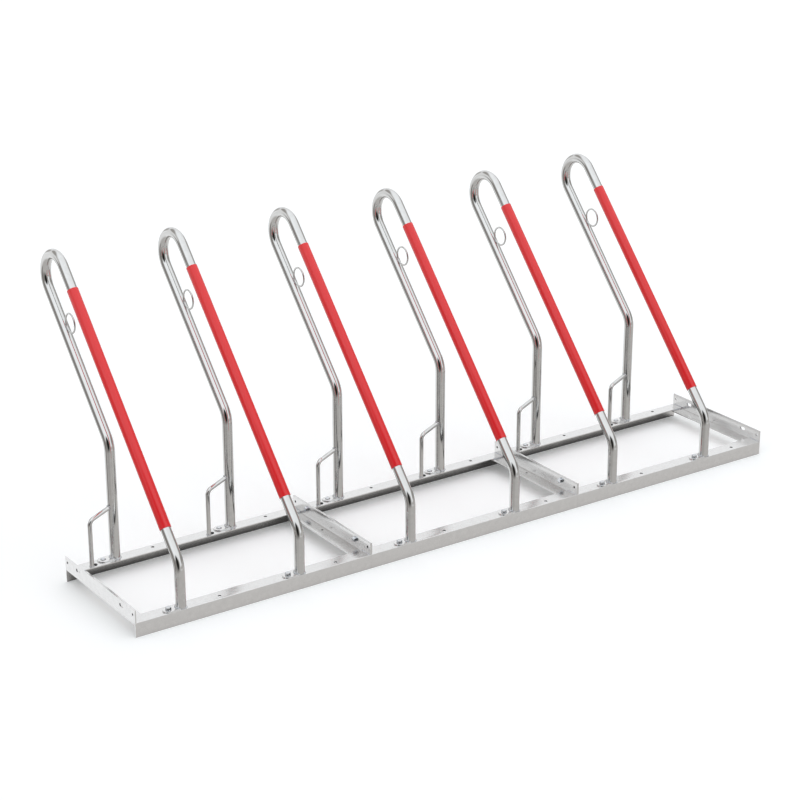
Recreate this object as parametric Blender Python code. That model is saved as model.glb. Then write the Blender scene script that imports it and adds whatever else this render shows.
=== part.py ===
"""A row rack for six bicycles: three bolted modules of galvanised angle steel, each with two bent tube hoops.

Lengths are metres, +Z is up. The row runs along X, bicycles come in from the front at -Y, and the origin is
on the floor, at the middle of the row's length and depth.
"""

import math

import bmesh
import bpy
from mathutils import Matrix, Vector

# The row and its modules
MODULE_COUNT = 3
HOOPS_PER_MODULE = 2
HOOP_SPACING = 0.350
FRAME_DEPTH = 0.385
FIRST_HOOP_X = 0.1358
SEAT_GAP = 0.0003

# Angle steel of the rails and the cross members
RAIL_HEIGHT = 0.040
RAIL_FLANGE = 0.040
MEMBER_UPSTAND = 0.040
MEMBER_FLANGE = 0.040
ANGLE_WALL = 0.003
ROOT_RADIUS = 0.0015
TOE_RADIUS = 0.001
HEEL_RADIUS = 0.001

# Hoop tube
TUBE_DIAMETER = 0.028
TUBE_WALL = 0.002
FRONT_LEG_MARGIN = 0.00025
REAR_LEG_MARGIN = 0.0023
FRONT_BEND_HEIGHT = 0.1614
SLOPE_ANGLE = math.radians(42.15)
SLOPE_LENGTH = 0.8433
ARC_RADIUS = 0.0634
BEND_RADIUS = 0.060
TUBE_SIDES = 12

# Foot lugs welded to the legs, with a half-round end about the bolt
LUG_THICKNESS = 0.003
LUG_WIDTH = 0.030
LUG_COPE = 0.007

# Red sleeve on the long slope
SLEEVE_START = 0.0943
SLEEVE_END_MARGIN = 0.0685
SLEEVE_WALL = 0.0011
SLEEVE_SIDES = 16

# Lock ring on the return slope
RING_WIRE_DIAMETER = 0.005
RING_OUTER_DIAMETER = 0.057
RING_ALONG_SLOPE = 0.330

# Wheel guide beside each rear leg
GUIDE_WIRE_DIAMETER = 0.012
GUIDE_OFFSET = 0.075
GUIDE_FORWARD = 0.014
GUIDE_CORNER_HEIGHT = 0.168
GUIDE_END_HEIGHT = 0.1904
GUIDE_BEND_RADIUS = 0.018

# Holes
FOOT_BOLT_OFFSET = 0.035
FOOT_BOLT_INSET = 0.015
SPARE_HOLE_OFFSET = 0.112
SPARE_HOLE_DIAMETER = 0.009
GUIDE_HOLE_ALONG = 0.0112
GUIDE_HOLE_BACK = 0.0032
GUIDE_HOLE_DIAMETER = 0.0095
JOINT_SLOT_INSET = 0.0727
JOINT_SLOT_LENGTH = 0.020
MEMBER_HOLE_RISE = 0.0254
MEMBER_HOLE_DIAMETER = 0.007
END_HOLE_INSET = 0.0125
MIDDLE_HOLE_INSET = 0.173
MIDDLE_HOLE_MARK = 0.0175

# M8 fasteners
BOLT_DIAMETER = 0.008
BOLT_HOLE_CLEARANCE = 0.001
HEAD_ACROSS_FLATS = 0.013
HEAD_HEIGHT = 0.0053
ROUND_HEAD_DIAMETER = 0.015
ROUND_HEAD_HEIGHT = 0.0035
NUT_HEIGHT = 0.0068
WASHER_DIAMETER = 0.016
WASHER_THICKNESS = 0.0016
THREAD_PAST_NUT = 0.003

# How finely round shapes are faceted, and how far cutters run past what they cut
HEXAGON_SIDES = 6
BORE_SIDES = 6
GUIDE_SIDES = 8
RING_SIDES = 6
HOLE_SIDES = 10
WASHER_SIDES = 12
ROUND_HEAD_SIDES = 12
ROUND_HEAD_STEPS = 3
SHANK_SIDES = 8
HALF_ROUND_STEPS = 6
BEND_STEPS = 3
ARC_STEPS = 10
RING_STEPS = 18
CORNER_STEPS = 2
SHARP_ANGLE = math.radians(35)
WELD_DISTANCE = 0.00001
CUT_PAST = 0.002
JOIN_OVERLAP = 0.0005

# Derived sizes
MODULE_LENGTH = HOOPS_PER_MODULE * HOOP_SPACING
TUBE_RADIUS = TUBE_DIAMETER / 2
BOLT_HOLE_DIAMETER = BOLT_DIAMETER + BOLT_HOLE_CLEARANCE
FLANGE_TOP = RAIL_HEIGHT
FLANGE_BOTTOM = RAIL_HEIGHT - ANGLE_WALL
LEG_BOTTOM = FLANGE_TOP + SEAT_GAP
LUG_TOP = LEG_BOTTOM + LUG_THICKNESS
MEMBER_HEEL_HEIGHT = FLANGE_BOTTOM - SEAT_GAP - ANGLE_WALL
MEMBER_HOLE_HEIGHT = MEMBER_HEEL_HEIGHT + MEMBER_HOLE_RISE
JOINT_SEAT = SEAT_GAP / 2 + ANGLE_WALL + SEAT_GAP
HEAD_SEAT = LUG_TOP + SEAT_GAP
FOOT_NUT_TOP = FLANGE_BOTTOM - SEAT_GAP
FOOT_BOLT_TIP = FOOT_NUT_TOP - NUT_HEIGHT - THREAD_PAST_NUT
ROW_LENGTH = MODULE_COUNT * MODULE_LENGTH
FRONT_LEG_Y = FRONT_LEG_MARGIN + TUBE_RADIUS
REAR_LEG_Y = FRAME_DEPTH - REAR_LEG_MARGIN - TUBE_RADIUS
LEG_SPACING = REAR_LEG_Y - FRONT_LEG_Y
GUIDE_Y = REAR_LEG_Y - GUIDE_FORWARD
FRONT_BOLT_Y = FOOT_BOLT_INSET
REAR_BOLT_Y = FRAME_DEPTH - FOOT_BOLT_INSET
RAIL_CUT_BACK = ANGLE_WALL + ROOT_RADIUS + SEAT_GAP
UPSTAND_CUT_BACK = ANGLE_WALL + SEAT_GAP
SLOPE_GAP = 2 * ARC_RADIUS
REAR_BEND_HEIGHT = FRONT_BEND_HEIGHT + (
    LEG_SPACING * math.cos(SLOPE_ANGLE) - SLOPE_GAP
) / math.sin(SLOPE_ANGLE)

# Directions in the hoop's plane: up along the slope, and square to it towards the rear and down
UP_SLOPE = Vector((0, math.sin(SLOPE_ANGLE), math.cos(SLOPE_ANGLE)))
OFF_SLOPE = Vector((0, math.cos(SLOPE_ANGLE), -math.sin(SLOPE_ANGLE)))
FRONT_CORNER = Vector((0, FRONT_LEG_Y, FRONT_BEND_HEIGHT))
REAR_CORNER = Vector((0, REAR_LEG_Y, REAR_BEND_HEIGHT))
ARC_CENTRE = FRONT_CORNER + SLOPE_LENGTH * UP_SLOPE + ARC_RADIUS * OFF_SLOPE

AXIS_X = Vector((1, 0, 0))
AXIS_Y = Vector((0, 1, 0))
AXIS_Z = Vector((0, 0, 1))

# Colours and finishes: name, colour, metallic, roughness
GALVANISED = ("galvanised_steel", (0.62, 0.63, 0.63, 1), 1.0, 0.22)
TUBE_STEEL = ("galvanised_tube", (0.66, 0.66, 0.66, 1), 1.0, 0.16)
ZINC_PLATED = ("zinc_plated_steel", (0.58, 0.59, 0.60, 1), 1.0, 0.28)
RED_PLASTIC = ("red_plastic", (0.62, 0.03, 0.04, 1), 0.0, 0.35)
FINISHES = (GALVANISED, TUBE_STEEL, ZINC_PLATED, RED_PLASTIC)


def clear_scene():
    """Leaves an empty file, whatever was in it."""
    for thing in list(bpy.data.objects):
        bpy.data.objects.remove(thing, do_unlink=True)
    for mesh in list(bpy.data.meshes):
        bpy.data.meshes.remove(mesh)


def new_collection(name, helpers=False):
    """A collection in the scene; one for helpers isn't rendered."""
    made = bpy.data.collections.new(name)
    made.hide_render = helpers
    bpy.context.scene.collection.children.link(made)
    return made


def principled(name, colour, metallic, roughness):
    """A material with one Principled BSDF."""
    material = bpy.data.materials.new(name)
    material.use_nodes = True
    shader = material.node_tree.nodes["Principled BSDF"]
    shader.inputs["Base Color"].default_value = colour
    shader.inputs["Metallic"].default_value = metallic
    shader.inputs["Roughness"].default_value = roughness
    material.diffuse_color = colour
    return material


def mesh_of(thing):
    """The evaluated shape of an object as a mesh of its own, welded, with the object removed."""
    graph = bpy.context.evaluated_depsgraph_get()
    mesh = bpy.data.meshes.new_from_object(thing.evaluated_get(graph))
    mesh.transform(thing.matrix_world)
    name = thing.name
    bpy.data.objects.remove(thing, do_unlink=True)
    mesh.name = name
    shape = bmesh.new()
    shape.from_mesh(mesh)
    bmesh.ops.remove_doubles(shape, verts=shape.verts, dist=WELD_DISTANCE)
    bmesh.ops.recalc_face_normals(shape, faces=shape.faces)
    shape.to_mesh(mesh)
    shape.free()
    return mesh


def outline_mesh(name, points, depth):
    """A flat outline in the local XY plane, made solid from Z = 0 to depth."""
    curve = bpy.data.curves.new(name, "CURVE")
    curve.dimensions = "2D"
    curve.fill_mode = "BOTH"
    curve.extrude = depth / 2
    spline = curve.splines.new("POLY")
    spline.points.add(len(points) - 1)
    for slot, (across, up) in zip(spline.points, points):
        slot.co = (across, up, 0, 1)
    spline.use_cyclic_u = True
    thing = bpy.data.objects.new(name, curve)
    thing.location = (0, 0, depth / 2)
    bpy.context.scene.collection.objects.link(thing)
    bpy.context.view_layer.update()
    return mesh_of(thing)


def tube_mesh(name, points, radius, sides, closed=False):
    """A round bar along a row of points, with filled ends unless it is closed on itself."""
    curve = bpy.data.curves.new(name, "CURVE")
    curve.dimensions = "3D"
    curve.twist_mode = "MINIMUM"
    curve.bevel_depth = radius
    curve.bevel_resolution = (sides - 4) // 2
    curve.use_fill_caps = not closed
    spline = curve.splines.new("POLY")
    spline.points.add(len(points) - 1)
    for slot, point in zip(spline.points, points):
        slot.co = (*point, 1)
    spline.use_cyclic_u = closed
    thing = bpy.data.objects.new(name, curve)
    bpy.context.scene.collection.objects.link(thing)
    bpy.context.view_layer.update()
    return mesh_of(thing)


def cylinder_mesh(name, centre, axis, radius, length, sides):
    """A cylinder, or a prism of few sides, centred on a point and standing along an axis."""
    shape = bmesh.new()
    bmesh.ops.create_cone(
        shape, cap_ends=True, segments=sides, radius1=radius, radius2=radius, depth=length
    )
    turn = axis.to_track_quat("Z", "Y").to_matrix().to_4x4()
    bmesh.ops.transform(shape, matrix=Matrix.Translation(centre) @ turn, verts=shape.verts)
    return finished(shape, name)


def box_mesh(name, low, high):
    """A box between two corners."""
    low = Vector(low)
    high = Vector(high)
    shape = bmesh.new()
    bmesh.ops.create_cube(shape, size=1)
    size = Matrix.Diagonal((*(high - low), 1))
    bmesh.ops.transform(shape, matrix=Matrix.Translation((low + high) / 2) @ size, verts=shape.verts)
    return finished(shape, name)


def finished(shape, name):
    """The mesh of a bmesh, which is freed."""
    mesh = bpy.data.meshes.new(name)
    shape.to_mesh(mesh)
    shape.free()
    return mesh


def placed(mesh, across, up, along, origin):
    """The mesh with its X, Y and Z laid along three directions from an origin."""
    frame = Matrix((across, up, along)).transposed().to_4x4()
    mesh.transform(Matrix.Translation(origin) @ frame)
    if frame.determinant() < 0:
        mesh.flip_normals()
    return mesh


def mirrored_in_x(mesh):
    """A copy of the mesh, mirrored in the plane x = 0."""
    other = mesh.copy()
    other.transform(Matrix.Scale(-1, 4, AXIS_X))
    other.flip_normals()
    return other


def combined(name, base, joins=(), cuts=()):
    """The base mesh with others joined on and cut away by exact Booleans."""
    thing = bpy.data.objects.new(name, base)
    bpy.context.scene.collection.objects.link(thing)
    for operation, meshes in (("UNION", joins), ("DIFFERENCE", cuts)):
        for mesh in meshes:
            tool = bpy.data.objects.new(f"{name}_{mesh.name}", mesh)
            tool.hide_render = True
            tool.display_type = "WIRE"
            CUTTERS.objects.link(tool)
            step = thing.modifiers.new(mesh.name, "BOOLEAN")
            step.operation = operation
            step.solver = "EXACT"
            step.object = tool
    bpy.context.view_layer.update()
    return mesh_of(thing)


def fillet(before, corner, after, radius, steps):
    """Points of the round bend that takes the place of a sharp corner between two straight runs."""
    into = (corner - before).normalized()
    out = (after - corner).normalized()
    turn = into.angle(out)
    setback = radius * math.tan(turn / 2)
    inwards = (out - into).normalized()
    centre = corner + inwards * radius / math.cos(turn / 2)
    start = corner - into * setback - centre
    axis = into.cross(out).normalized()
    return [centre + Matrix.Rotation(turn * i / steps, 3, axis) @ start for i in range(steps + 1)]


def rounded(corners):
    """A closed outline of (x, y, radius) corners, each replaced by an arc."""
    points = []
    for i, (x, y, radius) in enumerate(corners):
        corner = Vector((x, y, 0))
        if radius == 0:
            points.append((x, y))
            continue
        before = Vector((*corners[i - 1][:2], 0))
        after = Vector((*corners[(i + 1) % len(corners)][:2], 0))
        points += [(p.x, p.y) for p in fillet(before, corner, after, radius, CORNER_STEPS)]
    return points


def half_round(across, up, radius, first_angle):
    """Points of a half circle about a centre, counter-clockwise from an angle."""
    angles = [first_angle + math.pi * i / HALF_ROUND_STEPS for i in range(HALF_ROUND_STEPS + 1)]
    return [(across + radius * math.cos(angle), up + radius * math.sin(angle)) for angle in angles]


def angle_outline(flange, leg):
    """Section of an angle with its heel at the origin, the flange along +X and the leg along +Y."""
    corners = [
        (0, 0, HEEL_RADIUS),
        (flange, 0, 0),
        (flange, ANGLE_WALL, TOE_RADIUS),
        (ANGLE_WALL, ANGLE_WALL, ROOT_RADIUS),
        (ANGLE_WALL, leg, TOE_RADIUS),
        (0, leg, 0),
    ]
    return rounded(corners)


def hole_cutter(name, centre, axis, diameter, wall):
    """A cutter for a round hole through a wall, centred in its thickness and longer than it is thick."""
    return cylinder_mesh(name, centre, axis, diameter / 2, wall + 2 * CUT_PAST, HOLE_SIDES)


def slot_cutter(name, centre, length, width, wall):
    """A cutter for a slot through a wall square to X: it runs along Y and has half-round ends."""
    reach = (length - width) / 2
    outline = half_round(reach, 0, width / 2, -math.pi / 2)
    outline += half_round(-reach, 0, width / 2, math.pi / 2)
    depth = wall + 2 * CUT_PAST
    origin = centre - AXIS_X * depth / 2
    return placed(outline_mesh(name, outline, depth), AXIS_Y, AXIS_Z, AXIS_X, origin)


def hoop_places():
    """The x of each hoop within its module."""
    return [FIRST_HOOP_X + i * HOOP_SPACING for i in range(HOOPS_PER_MODULE)]


def rail_mesh(name, outer_y, inwards):
    """A rail from end to end of a module: leg outside and down to the floor, flange level and inwards.

    The flange is cut back at both ends, so that the cross member's upstand passes in front of it.
    """
    start = SEAT_GAP / 2
    end = MODULE_LENGTH - SEAT_GAP / 2
    origin = Vector((start, outer_y, FLANGE_TOP))
    section = angle_outline(RAIL_FLANGE, RAIL_HEIGHT)
    bar = placed(outline_mesh(name, section, end - start), inwards * AXIS_Y, -AXIS_Z, AXIS_X, origin)
    wall_y = outer_y + inwards * ANGLE_WALL
    past_y = outer_y + inwards * (RAIL_FLANGE + CUT_PAST)
    low_y, high_y = sorted((wall_y, past_y))
    low_z = FLANGE_BOTTOM - ROOT_RADIUS - CUT_PAST
    high_z = FLANGE_TOP + CUT_PAST
    cuts = [
        box_mesh("left_notch", (start - CUT_PAST, low_y, low_z), (start + RAIL_CUT_BACK, high_y, high_z)),
        box_mesh("right_notch", (end - RAIL_CUT_BACK, low_y, low_z), (end + CUT_PAST, high_y, high_z)),
    ]
    hole_y = outer_y + inwards * FOOT_BOLT_INSET
    hole_z = FLANGE_TOP - ANGLE_WALL / 2
    for i, x in enumerate(hoop_places()):
        bolt_hole = Vector((x - FOOT_BOLT_OFFSET, hole_y, hole_z))
        spare_hole = Vector((x + SPARE_HOLE_OFFSET, hole_y, hole_z))
        holes = [
            ("bolt_hole", bolt_hole, BOLT_HOLE_DIAMETER),
            ("spare_hole", spare_hole, SPARE_HOLE_DIAMETER),
        ]
        if inwards < 0:
            guide_hole = Vector((x - GUIDE_OFFSET + GUIDE_HOLE_ALONG, GUIDE_Y + GUIDE_HOLE_BACK, hole_z))
            holes.append(("guide_hole", guide_hole, GUIDE_HOLE_DIAMETER))
        for label, centre, diameter in holes:
            cuts.append(hole_cutter(f"{label}_{i + 1}", centre, AXIS_Z, diameter, ANGLE_WALL))
    return combined(name, bar, cuts=cuts)


def cross_member_mesh(name):
    """The cross member at a module's left end, with the end plane at x = 0.

    Its upstand runs over the rails' ends from outer face to outer face, and is coped below the flange's top
    to pass between the rails' outer legs. Its flat leg lies under both flanges.
    """
    origin = Vector((SEAT_GAP / 2, 0, MEMBER_HEEL_HEIGHT))
    section = angle_outline(MEMBER_FLANGE, MEMBER_UPSTAND)
    bar = placed(outline_mesh(name, section, FRAME_DEPTH), AXIS_X, AXIS_Z, AXIS_Y, origin)
    upstand_x = origin.x + ANGLE_WALL / 2
    cuts = []
    for label, end_y, inwards in (("front", 0, 1), ("rear", FRAME_DEPTH, -1)):
        past_y = end_y - inwards * CUT_PAST
        upstand_y = end_y + inwards * UPSTAND_CUT_BACK
        flange_y = end_y + inwards * RAIL_CUT_BACK
        low_z = MEMBER_HEEL_HEIGHT - CUT_PAST
        low_y, high_y = sorted((past_y, upstand_y))
        low = (-CUT_PAST, low_y, low_z)
        high = (MEMBER_FLANGE + CUT_PAST, high_y, LEG_BOTTOM)
        cuts.append(box_mesh(f"{label}_upstand_cope", low, high))
        low_y, high_y = sorted((past_y, flange_y))
        low = (origin.x + ANGLE_WALL, low_y, low_z)
        high = (MEMBER_FLANGE + CUT_PAST, high_y, LEG_BOTTOM)
        cuts.append(box_mesh(f"{label}_flange_cope", low, high))
        slot = Vector((upstand_x, end_y + inwards * JOINT_SLOT_INSET, MEMBER_HOLE_HEIGHT))
        cuts.append(slot_cutter(f"{label}_slot", slot, JOINT_SLOT_LENGTH, BOLT_HOLE_DIAMETER, ANGLE_WALL))
        hole = Vector((upstand_x, end_y + inwards * END_HOLE_INSET, MEMBER_HOLE_HEIGHT))
        cuts.append(hole_cutter(f"{label}_end_hole", hole, AXIS_X, MEMBER_HOLE_DIAMETER, ANGLE_WALL))
    flat_z = MEMBER_HEEL_HEIGHT + ANGLE_WALL / 2
    hole = Vector((origin.x + MIDDLE_HOLE_MARK, FRAME_DEPTH - MIDDLE_HOLE_INSET, flat_z))
    cuts.append(hole_cutter("middle_hole", hole, AXIS_Z, MEMBER_HOLE_DIAMETER, ANGLE_WALL))
    return combined(name, bar, cuts=cuts)


def hoop_path(foot_height):
    """Centreline of a hoop, from the front foot over the half circle to the rear foot."""
    front_foot = Vector((0, FRONT_LEG_Y, foot_height))
    rear_foot = Vector((0, REAR_LEG_Y, foot_height))
    slope_end = FRONT_CORNER + SLOPE_LENGTH * UP_SLOPE
    return_start = slope_end + SLOPE_GAP * OFF_SLOPE
    points = [front_foot]
    points += fillet(front_foot, FRONT_CORNER, slope_end, BEND_RADIUS, BEND_STEPS)
    for i in range(ARC_STEPS + 1):
        turn = Matrix.Rotation(-math.pi * i / ARC_STEPS, 3, AXIS_X)
        points.append(ARC_CENTRE - turn @ (ARC_RADIUS * OFF_SLOPE))
    points += fillet(return_start, REAR_CORNER, rear_foot, BEND_RADIUS, BEND_STEPS)
    points.append(rear_foot)
    return points


def lug_mesh(name, bolt_y):
    """A foot lug: a flat bar on the rail's flange, coped round the tube and half-round about the bolt."""
    half_width = LUG_WIDTH / 2
    tube_end = LUG_COPE - TUBE_RADIUS
    outline = half_round(-FOOT_BOLT_OFFSET, bolt_y, half_width, math.pi / 2)
    outline += [(tube_end, bolt_y - half_width), (tube_end, bolt_y + half_width)]
    plate = outline_mesh(name, outline, LUG_THICKNESS)
    return placed(plate, AXIS_X, AXIS_Y, AXIS_Z, Vector((0, 0, LEG_BOTTOM)))


def hoop_mesh(name):
    """One bent tube, open at both feet, with a lug welded to the left of each foot."""
    tube = tube_mesh(name, hoop_path(LEG_BOTTOM), TUBE_RADIUS, TUBE_SIDES)
    bore = tube_mesh("bore", hoop_path(LEG_BOTTOM - CUT_PAST), TUBE_RADIUS - TUBE_WALL, BORE_SIDES)
    lugs = []
    holes = []
    for label, bolt_y in (("front", FRONT_BOLT_Y), ("rear", REAR_BOLT_Y)):
        lugs.append(lug_mesh(f"{label}_lug", bolt_y))
        hole = Vector((-FOOT_BOLT_OFFSET, bolt_y, LEG_BOTTOM + LUG_THICKNESS / 2))
        holes.append(hole_cutter(f"{label}_hole", hole, AXIS_Z, BOLT_HOLE_DIAMETER, LUG_THICKNESS))
    return combined(name, tube, joins=lugs, cuts=[bore, *holes])


def sleeve_mesh(name):
    """A plastic tube pushed over the long slope, its bore clear of the steel."""
    bore_radius = (TUBE_RADIUS + SEAT_GAP) / math.cos(math.pi / SLEEVE_SIDES)
    start = FRONT_CORNER + SLEEVE_START * UP_SLOPE
    end = FRONT_CORNER + (SLOPE_LENGTH - SLEEVE_END_MARGIN) * UP_SLOPE
    skin = tube_mesh(name, [start, end], bore_radius + SLEEVE_WALL, SLEEVE_SIDES)
    past = CUT_PAST * UP_SLOPE
    bore = tube_mesh("sleeve_bore", [start - past, end + past], bore_radius, SLEEVE_SIDES)
    return combined(name, skin, cuts=[bore])


def lock_ring_mesh(name):
    """A ring of wire in the hoop's plane, against the front side of the return slope."""
    wire_radius = RING_WIRE_DIAMETER / 2
    ring_radius = RING_OUTER_DIAMETER / 2 - wire_radius
    off_axis = TUBE_RADIUS + SEAT_GAP + RING_OUTER_DIAMETER / 2
    centre = REAR_CORNER + RING_ALONG_SLOPE * UP_SLOPE - off_axis * OFF_SLOPE
    points = []
    for i in range(RING_STEPS):
        turn = Matrix.Rotation(2 * math.pi * i / RING_STEPS, 3, AXIS_X)
        points.append(centre + turn @ (ring_radius * OFF_SLOPE))
    return tube_mesh(name, points, wire_radius, RING_SIDES, closed=True)


def wheel_guide_mesh(name):
    """A wire from the rear flange up and across to the rear leg, where its end is coped to the tube."""
    foot = Vector((-GUIDE_OFFSET, GUIDE_Y, FLANGE_TOP + SEAT_GAP))
    corner = Vector((-GUIDE_OFFSET, GUIDE_Y, GUIDE_CORNER_HEIGHT))
    end = Vector((0, REAR_LEG_Y, GUIDE_END_HEIGHT))
    points = [foot, *fillet(foot, corner, end, GUIDE_BEND_RADIUS, BEND_STEPS), end]
    wire = tube_mesh(name, points, GUIDE_WIRE_DIAMETER / 2, GUIDE_SIDES)
    leg_radius = (TUBE_RADIUS + SEAT_GAP) / math.cos(math.pi / TUBE_SIDES)
    leg = cylinder_mesh("leg_cope", end, AXIS_Z, leg_radius, GUIDE_END_HEIGHT, 2 * TUBE_SIDES)
    return combined(name, wire, cuts=[leg])


def hexagon_mesh(name, centre, axis, height):
    """A hexagon head or nut."""
    corner_radius = HEAD_ACROSS_FLATS / 2 / math.cos(math.pi / HEXAGON_SIDES)
    return cylinder_mesh(name, centre, axis, corner_radius, height, HEXAGON_SIDES)


def dome_mesh(name, height, diameter, rise):
    """A low round head: the upper half of a flattened ball, standing on a height."""
    shape = bmesh.new()
    bmesh.ops.create_uvsphere(
        shape, u_segments=ROUND_HEAD_SIDES, v_segments=2 * ROUND_HEAD_STEPS, radius=1
    )
    everything = shape.verts[:] + shape.edges[:] + shape.faces[:]
    bmesh.ops.bisect_plane(
        shape, geom=everything, dist=WELD_DISTANCE, plane_co=(0, 0, 0), plane_no=(0, 0, 1), clear_inner=True
    )
    rim = [edge for edge in shape.edges if edge.is_boundary]
    bmesh.ops.contextual_create(shape, geom=rim)
    bmesh.ops.recalc_face_normals(shape, faces=shape.faces)
    size = Matrix.Diagonal((diameter / 2, diameter / 2, rise, 1))
    bmesh.ops.transform(shape, matrix=Matrix.Translation((0, 0, height)) @ size, verts=shape.verts)
    return finished(shape, name)


def shank_mesh(name, axis, top, tip):
    """A bolt's plain shank along an axis through the origin."""
    length = top - tip
    return cylinder_mesh(name, axis * (tip + length / 2), axis, BOLT_DIAMETER / 2, length, SHANK_SIDES)


def head_and_washer(axis, seat):
    """A washer on a seat and a hexagon head on the washer, as two meshes that reach into each other."""
    washer_centre = axis * (seat + WASHER_THICKNESS / 2)
    radius = WASHER_DIAMETER / 2
    washer = cylinder_mesh("washer", washer_centre, axis, radius, WASHER_THICKNESS, WASHER_SIDES)
    height = HEAD_HEIGHT + JOIN_OVERLAP
    head_centre = axis * (seat + WASHER_THICKNESS - JOIN_OVERLAP + height / 2)
    return [washer, hexagon_mesh("head", head_centre, axis, height)]


def foot_nut_mesh():
    """The nut under the flange, on the origin's Z axis."""
    return hexagon_mesh("nut", AXIS_Z * (FOOT_NUT_TOP - NUT_HEIGHT / 2), AXIS_Z, NUT_HEIGHT)


def front_foot_bolt_mesh(name):
    """The tightened fastener of a front foot: washer and hexagon head on the lug, nut under the flange."""
    shank = shank_mesh(name, AXIS_Z, HEAD_SEAT + WASHER_THICKNESS, FOOT_BOLT_TIP)
    return combined(name, shank, joins=[*head_and_washer(AXIS_Z, HEAD_SEAT), foot_nut_mesh()])


def rear_foot_bolt_mesh(name):
    """The tightened fastener of a rear foot: low round head on the lug, nut under the flange."""
    shank = shank_mesh(name, AXIS_Z, HEAD_SEAT + ROUND_HEAD_HEIGHT / 2, FOOT_BOLT_TIP)
    head = dome_mesh("round_head", HEAD_SEAT, ROUND_HEAD_DIAMETER, ROUND_HEAD_HEIGHT)
    return combined(name, shank, joins=[head, foot_nut_mesh()])


def joint_bolt_mesh(name):
    """A bolt through two back-to-back upstands, with its head to the left."""
    tip = -(JOINT_SEAT + WASHER_THICKNESS + NUT_HEIGHT + THREAD_PAST_NUT)
    shank = shank_mesh(name, -AXIS_X, JOINT_SEAT + WASHER_THICKNESS, tip)
    return combined(name, shank, joins=head_and_washer(-AXIS_X, JOINT_SEAT))


def joint_nut_mesh(name):
    """The nut and washer on the right of a joint, with a bore that clears the bolt."""
    bore_radius = (BOLT_DIAMETER / 2 + SEAT_GAP) / math.cos(math.pi / SHANK_SIDES)
    washer_centre = AXIS_X * (JOINT_SEAT + WASHER_THICKNESS / 2)
    radius = WASHER_DIAMETER / 2
    washer = cylinder_mesh(name, washer_centre, AXIS_X, radius, WASHER_THICKNESS, WASHER_SIDES)
    height = NUT_HEIGHT + JOIN_OVERLAP
    nut_centre = AXIS_X * (JOINT_SEAT + WASHER_THICKNESS - JOIN_OVERLAP + height / 2)
    nut = hexagon_mesh("joint_nut_body", nut_centre, AXIS_X, height)
    bore_length = WASHER_THICKNESS + NUT_HEIGHT + 2 * CUT_PAST
    bore_centre = AXIS_X * (JOINT_SEAT + (WASHER_THICKNESS + NUT_HEIGHT) / 2)
    bore = cylinder_mesh("joint_nut_bore", bore_centre, AXIS_X, bore_radius, bore_length, SHANK_SIDES)
    return combined(name, washer, joins=[nut], cuts=[bore])


def add_piece(name, mesh, place, finish):
    """A named part of the rack from a mesh, which other parts may share."""
    if not mesh.materials:
        mesh.materials.append(MATERIALS[finish])
        mesh.shade_smooth()
        mesh.set_sharp_from_angle(angle=SHARP_ANGLE)
    piece = bpy.data.objects.new(name, mesh)
    piece.location = place
    piece.parent = ROW_CORNER
    PARTS.objects.link(piece)
    return piece


def add_frames():
    """The rails and cross members of each module."""
    front = rail_mesh("front_rail", 0, 1)
    rear = rail_mesh("rear_rail", FRAME_DEPTH, -1)
    left = cross_member_mesh("cross_member")
    right = mirrored_in_x(left)
    for i in range(MODULE_COUNT):
        start = Vector((i * MODULE_LENGTH, 0, 0))
        end = Vector(((i + 1) * MODULE_LENGTH, 0, 0))
        add_piece(f"front_rail_{i + 1}", front, start, "galvanised_steel")
        add_piece(f"rear_rail_{i + 1}", rear, start, "galvanised_steel")
        add_piece(f"left_cross_member_{i + 1}", left, start, "galvanised_steel")
        add_piece(f"right_cross_member_{i + 1}", right, end, "galvanised_steel")


def add_hoops(hoop):
    """Each hoop with its sleeve, lock ring, wheel guide and foot bolts."""
    sleeve = sleeve_mesh("sleeve")
    ring = lock_ring_mesh("lock_ring")
    guide = wheel_guide_mesh("wheel_guide")
    front_bolt = front_foot_bolt_mesh("front_foot_bolt")
    rear_bolt = rear_foot_bolt_mesh("rear_foot_bolt")
    places = [m * MODULE_LENGTH + x for m in range(MODULE_COUNT) for x in hoop_places()]
    for i, x in enumerate(places, start=1):
        place = Vector((x, 0, 0))
        front_foot = Vector((x - FOOT_BOLT_OFFSET, FRONT_BOLT_Y, 0))
        rear_foot = Vector((x - FOOT_BOLT_OFFSET, REAR_BOLT_Y, 0))
        add_piece(f"hoop_{i}", hoop, place, "galvanised_tube")
        add_piece(f"sleeve_{i}", sleeve, place, "red_plastic")
        add_piece(f"lock_ring_{i}", ring, place, "galvanised_tube")
        add_piece(f"wheel_guide_{i}", guide, place, "galvanised_tube")
        add_piece(f"front_foot_bolt_{i}", front_bolt, front_foot, "zinc_plated_steel")
        add_piece(f"rear_foot_bolt_{i}", rear_bolt, rear_foot, "zinc_plated_steel")


def add_joints():
    """Two bolts and nuts through each pair of back-to-back cross members."""
    bolt = joint_bolt_mesh("joint_bolt")
    nut = joint_nut_mesh("joint_nut")
    for i in range(1, MODULE_COUNT):
        for label, y in (("front", JOINT_SLOT_INSET), ("rear", FRAME_DEPTH - JOINT_SLOT_INSET)):
            place = Vector((i * MODULE_LENGTH, y, MEMBER_HOLE_HEIGHT))
            add_piece(f"{label}_joint_bolt_{i}", bolt, place, "zinc_plated_steel")
            add_piece(f"{label}_joint_nut_{i}", nut, place, "zinc_plated_steel")


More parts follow.
